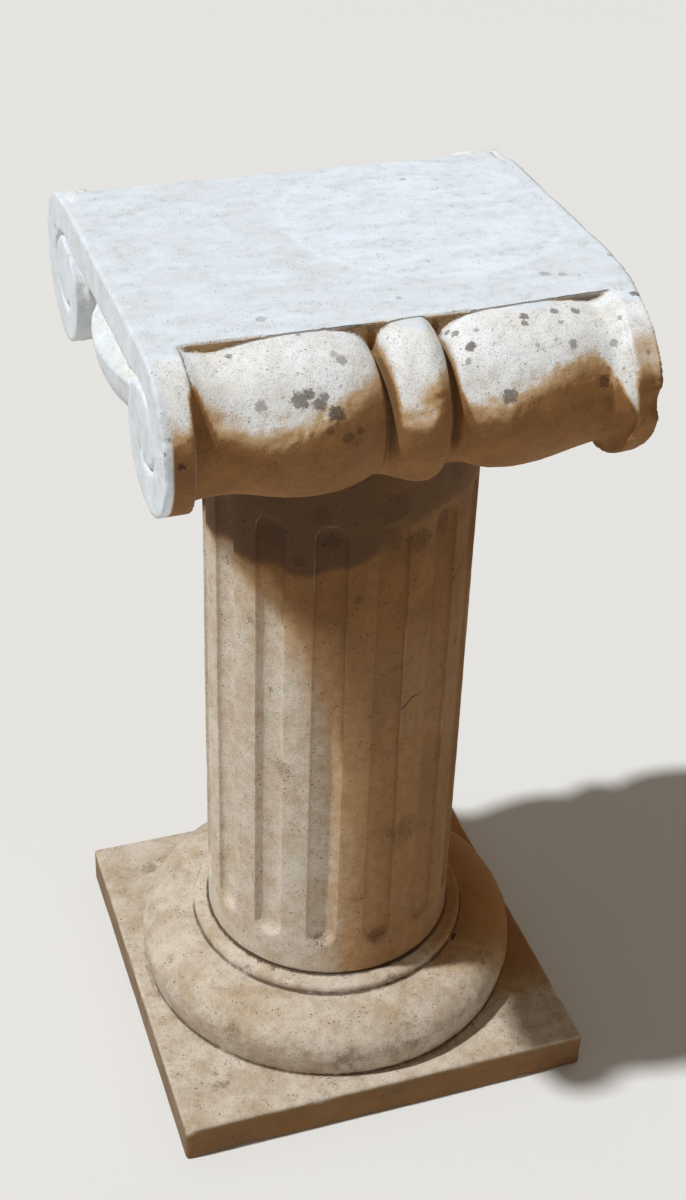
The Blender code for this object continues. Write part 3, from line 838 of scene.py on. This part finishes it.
baseStains = [
    (-94, -68, 88, 7, 0.5), (18, -114, 89, 6, 0.5), (-84, -54, 93, 5, 0.9), (-76, -64, 93, 7, 0.9),
    (-70, -78, 92, 4, 0.7), (20, -150, 56, 22, 0.35), (-30, -158, 50, 16, 0.35), (-114, -110, 67, 9, 0.3),
    (107, -96, 80, 10, 0.4), (12, -161, 56, 10, 0.3), (-132, -129, 34, 10, 0.5), (-129, 130, 34, 9, 0.4),
    (-50, -165, 34, 9, 0.4)]


def onRoll(x, degrees):
    turn = math.radians(degrees)
    up = smooth(0.45, 0.97, math.cos(turn))
    reach = float(rollRadius(np.array([float(x)]), up)[0])
    return x, -capital["scrollOut"] - reach * math.sin(turn), reach * math.cos(turn) - capital["rollDrop"]


def lines(at, ends, width, edge):
    # A dark crack along straight pieces between points, in millimetres.
    found = None
    for one, two in zip(ends, ends[1:]):
        a = tuple(v / 1000 for v in one)
        d = tuple((v - w) / 1000 for v, w in zip(two, one))
        local = at.make("VectorMath", {"operation": "SUBTRACT"}, 0, i0=at, i1=a)
        t = at.make("VectorMath", {"operation": "DOT_PRODUCT"}, 1, i0=local, i1=d) / sum(v * v for v in d)
        t = t.sum("MINIMUM", t.sum("MAXIMUM", t, 0.0), 1.0)
        step = at.make("VectorMath", {"operation": "SCALE"}, 0, i0=d, Scale=t)
        away = at.make("VectorMath", {"operation": "DISTANCE"}, 1, i0=local, i1=step)
        mark = (away * 1000.0 / width + (edge - 0.5) * 1.4).ramp(1.0, 0.4)
        found = mark if found is None else found.most(mark)
    return found


def placed(items, up=0.0):
    return [(item[0] + axisX * 1000, item[1], item[2] + up) + tuple(item[3:]) for item in items]


def millimetres(at):
    # x from the shaft's axis, y, and z from the ground.
    x, y, z = (at.make("SeparateXYZ", None, k, i0=at) * 1000.0 for k in range(3))
    return x - axisX * 1000, y, z


def capitalExtra(at, hue, height, n):
    # The rain-washed top is whiter and cooler, with drifts of fine grey flecks.
    drift = noise(at, 26.0, 4.0, 0.6, (1.0, 2.4, 1.0), 8.1)
    white = (drift * 0.6 + n["mottle"] * 0.4).ramp(0.35, 0.65)
    white = white.blend(colour(228, 236, 246), colour(214, 220, 226))
    flecks = (n["fine"] * 0.5 + n["mottle"] * 0.5).ramp(0.53, 0.64) * drift.ramp(0.44, 0.62)
    white = (flecks * 0.55).blend(white, colour(158, 160, 160))
    # A faint pale ring that a round thing left there, with greyer stone outside it.
    centre = (axisX + 0.0628, 0.0245, topZ)
    away = at.make("VectorMath", {"operation": "DISTANCE"}, 1, i0=at, i1=centre) + (n["cloud"] - 0.5) * 0.004
    outside = away.ramp(0.098, 0.108) * 0.26
    white = (outside * n["cloud"].ramp(0.3, 0.6)).blend(white, colour(204, 205, 202))
    rim = away.ramp(0.0955, 0.0990) * away.ramp(0.1045, 0.1010) * n["cloud"].ramp(0.40, 0.58)
    white = (rim * 0.28).blend(white, colour(240, 244, 250))
    hue = n["layer"]("rain").blend(hue, white)
    lichen = [onRoll(x, degrees) + (size, strength) for x, degrees, size, strength in rollLichen] + topLichen
    marks = spots(at, placed(lichen, topZ * 1000), n["blot"])
    grey = n["pepper"].ramp(0.42, 0.58).blend(colour(72, 60, 50), colour(124, 114, 102))
    grey = n["brown"].blend(grey, colour(70, 48, 30))
    hue = (marks * 0.9).blend(hue, grey)
    # A fine dark line of painted shade where the rolls come up against the plate's front edge, which is a
    # little bowed.
    x, y, z = millimetres(at)
    bend = (x + 45.0) / 100.0
    line = abs(y + (126.9 - bend * bend * 1.45) + (n["mottle"] - 0.5) * 1.6).ramp(1.1, 0.35)
    line = line * z.ramp(topZ * 1000 - 8.0, topZ * 1000 - 4.0) * x.ramp(-150.0, -146.0) * x.ramp(142.0, 138.0)
    hue = (line * 0.75).blend(hue, colour(104, 84, 62))
    return hue, height - marks * 0.15 - line * 1.2


def shaftExtra(at, hue, height, n):
    dark = spots(at, placed(shaftStains), n["blot"])
    hue = (dark * n["pepper"].ramp(0.35, 0.55)).blend(hue, colour(66, 46, 30))
    long, short = (placed(ends) for ends in shaftCracks)
    crack = lines(at, long, 0.8, n["mottle"]).most(lines(at, short, 0.7, n["mottle"])) * 0.8
    hue = crack.blend(hue, colour(58, 44, 32))
    return hue, height - crack * 1.2 - dark * 0.15


def baseExtra(at, hue, height, n):
    dark = spots(at, placed(baseStains), n["blot"])
    hue = (dark * n["mottle"].ramp(0.4, 0.6)).blend(hue, colour(92, 72, 52))
    # Painted shadow of the shaft: browner and warmer behind the shaft on the right.
    x, y, z = millimetres(at)
    shaftShadow = x.ramp(10.0, 120.0) * y.ramp(-125.0, -50.0) * 0.45
    hue = shaftShadow.blend(hue, n["cloud"].ramp(0.3, 0.7).blend(colour(190, 134, 74), colour(160, 108, 56)))
    # Fine dark lines of painted shade where the torus meets the plinth and the ring meets the torus.
    reach = x * x + y * y
    reach = reach.sum("SQRT", reach) + (n["mottle"] - 0.5) * 1.6
    foot = abs(reach - 157.6).ramp(1.5, 0.3) * z.ramp(38.0, 35.0) * z.ramp(31.0, 33.0)
    collar = abs(reach - 116.0).ramp(1.7, 0.4) * z.ramp(88.5, 86.0) * z.ramp(81.0, 83.0)
    creaseShade = foot.most(collar) * n["cloud"].ramp(0.25, 0.5)
    hue = (creaseShade * 0.8).blend(hue, colour(74, 54, 36))
    # The plinth's front side is darker than its top, and its left side greyer, as painted shade.
    hue = (y.ramp(-170.5, -171.9) * z.ramp(33.0, 31.0) * 0.45).blend(hue, colour(92, 70, 48))
    side = x.ramp(-170.5, -171.9) * z.ramp(33.0, 31.0)
    hue = (side * 0.7).blend(hue, n["cloud"].ramp(0.35, 0.65).blend(colour(98, 84, 68), colour(122, 108, 90)))
    # A dark slot in the torus.
    slot = lines(at, placed([(86.0, -81.0, 84.6), (91.5, -75.0, 83.8)]), 1.1, n["fine"])
    hue = slot.blend(hue, colour(30, 24, 20))
    return hue, height - slot * 1.5 - dark * 0.1


# Looks. Streak stretches the border of the brown skin upright, rag makes it ragged and sandy sprinkles it.
# The brown, ochre and deep colours are patina made warmer and stronger to serve as painted warm shade too.
capitalLook = dict(
    streak=1.0, rag=0.32, sandy=1.1,
    pale=colour(238, 240, 242), cream=colour(224, 221, 215), speck=colour(146, 142, 138), specks=0.5,
    dust=colour(206, 198, 184), tan=colour(204, 172, 132), warm=colour(186, 150, 106),
    brown=colour(130, 90, 50), ochre=colour(152, 108, 62), deep=colour(84, 56, 32),
    ash=colour(132, 104, 76), ashAmount=0.25,
    shadeDirtColour=colour(124, 100, 72), shadeDirtAmount=0.7, wear=0.5, dot=colour(84, 74, 64), pits=0.55, bump=0.8)
shaftLook = dict(
    streak=0.16, rag=0.6, sandy=0.3,
    pale=colour(216, 206, 192), cream=colour(202, 186, 164), speck=colour(118, 104, 90), specks=0.5,
    dust=colour(182, 160, 132), tan=colour(190, 152, 110), warm=colour(170, 134, 94),
    brown=colour(124, 86, 48), ochre=colour(146, 104, 60), deep=colour(76, 50, 30),
    ash=colour(112, 90, 66), ashAmount=0.35,
    shadeDirtColour=colour(76, 54, 36), shadeDirtAmount=0.75, wear=0.3, dot=colour(52, 38, 28), pits=0.9, bump=0.9)
baseLook = dict(
    streak=1.0, rag=0.8, sandy=0.3,
    pale=colour(204, 192, 176), cream=colour(180, 164, 142), speck=colour(124, 110, 94), specks=0.5,
    dust=colour(166, 144, 114), tan=colour(180, 148, 108), warm=colour(160, 124, 84),
    brown=colour(144, 102, 56), ochre=colour(170, 120, 66), deep=colour(84, 60, 38),
    ash=colour(122, 104, 82), ashAmount=0.4,
    shadeDirtColour=colour(74, 54, 36), shadeDirtAmount=0.9, wear=0.28, dot=colour(64, 52, 40), pits=0.8, bump=0.9)


def dress(item, node, slot, look, extra):
    item.data.materials.clear()
    item.data.materials.append(limestone(slot, look, extra))
    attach(item, "root")
    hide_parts(node)


dress(makeCapital(), "capital", "capital_stone", capitalLook, capitalExtra)
dress(makeShaft(), "shaft", "shaft_stone", shaftLook, shaftExtra)
dress(makeBase(), "base", "base_stone", baseLook, baseExtra)
print("pieces made")

# Camera at the photo's viewing angle: its place from the shaft's axis in metres, and its angles in radians.
view = dict(place=(-0.39117, -1.11932, 1.21898), turn=-0.3407, tilt=0.60448, roll=0.03448, lens=55.522)
camera = bpy.data.objects.new("camera", bpy.data.cameras.new("camera"))
bpy.context.scene.collection.objects.link(camera)
turnBy, tilt, roll = view["turn"], view["tilt"], view["roll"]
back = Vector((math.sin(turnBy) * math.cos(tilt), -math.cos(turnBy) * math.cos(tilt), math.sin(tilt)))
right = Vector((math.cos(turnBy), math.sin(turnBy), 0.0))
up = right.cross(-back)
across = right * math.cos(roll) + up * math.sin(roll)
upright = up * math.cos(roll) - right * math.sin(roll)
place = Matrix((across, upright, back)).transposed().to_4x4()
place.translation = Vector(view["place"]) + Vector((axisX, 0.0, 0.0))
camera.matrix_world = place
camera.data.lens = view["lens"]
camera.data.sensor_width = 36.0
camera.data.clip_start = 0.05
bpy.context.scene.camera = camera

# Plain pale floor and soft studio light. The key light stands high on the left, as the shadows in the photo
# say, and the other two only lift the shade. A light's row is where it stands, its strength, its spread in
# degrees and its tint.
studio = dict(
    floorHalf=12.0, floorColour=(0.73, 0.72, 0.70, 1.0), floorRough=0.9, sky=(1.0, 0.89, 0.76, 1.0),
    skyStrength=0.21)
lights = dict(
    key=((-1.0, 0.06, 1.91), 3.15, 2.2, (0.95, 0.98, 1.0)),
    fill=((0.25, -1.0, 0.55), 0.10, 50.0, (1.0, 0.93, 0.84)),
    rim=((1.0, 0.6, 0.5), 0.06, 60.0, (1.0, 0.93, 0.84)))

floorMesh = bpy.data.meshes.new("floor")
far = studio["floorHalf"]
floorMesh.from_pydata([(-far, -far, 0), (far, -far, 0), (far, far, 0), (-far, far, 0)], [], [(0, 1, 2, 3)])
floor = bpy.data.objects.new("floor", floorMesh)
bpy.context.scene.collection.objects.link(floor)
floorStone = bpy.data.materials.new("floor")
floorStone.use_nodes = True
floorShader = floorStone.node_tree.nodes["Principled BSDF"]
floorShader.inputs["Base Color"].default_value = studio["floorColour"]
floorShader.inputs["Roughness"].default_value = studio["floorRough"]
floor.data.materials.append(floorStone)

world = bpy.data.worlds.new("studio")
bpy.context.scene.world = world
world.use_nodes = True
world.node_tree.nodes["Background"].inputs[0].default_value = studio["sky"]
world.node_tree.nodes["Background"].inputs[1].default_value = studio["skyStrength"]


def sun(name, towards, strength, spread, tint):
    data = bpy.data.lights.new(name, "SUN")
    data.energy, data.angle, data.color = strength, math.radians(spread), tint
    item = bpy.data.objects.new(name, data)
    bpy.context.scene.collection.objects.link(item)
    item.rotation_mode = "QUATERNION"
    item.rotation_quaternion = Vector(towards).to_track_quat("Z", "Y")


for lightName, light in lights.items():
    sun(lightName, *light)
bpy.context.scene.view_settings.view_transform = "Standard"
print("camera and light set")
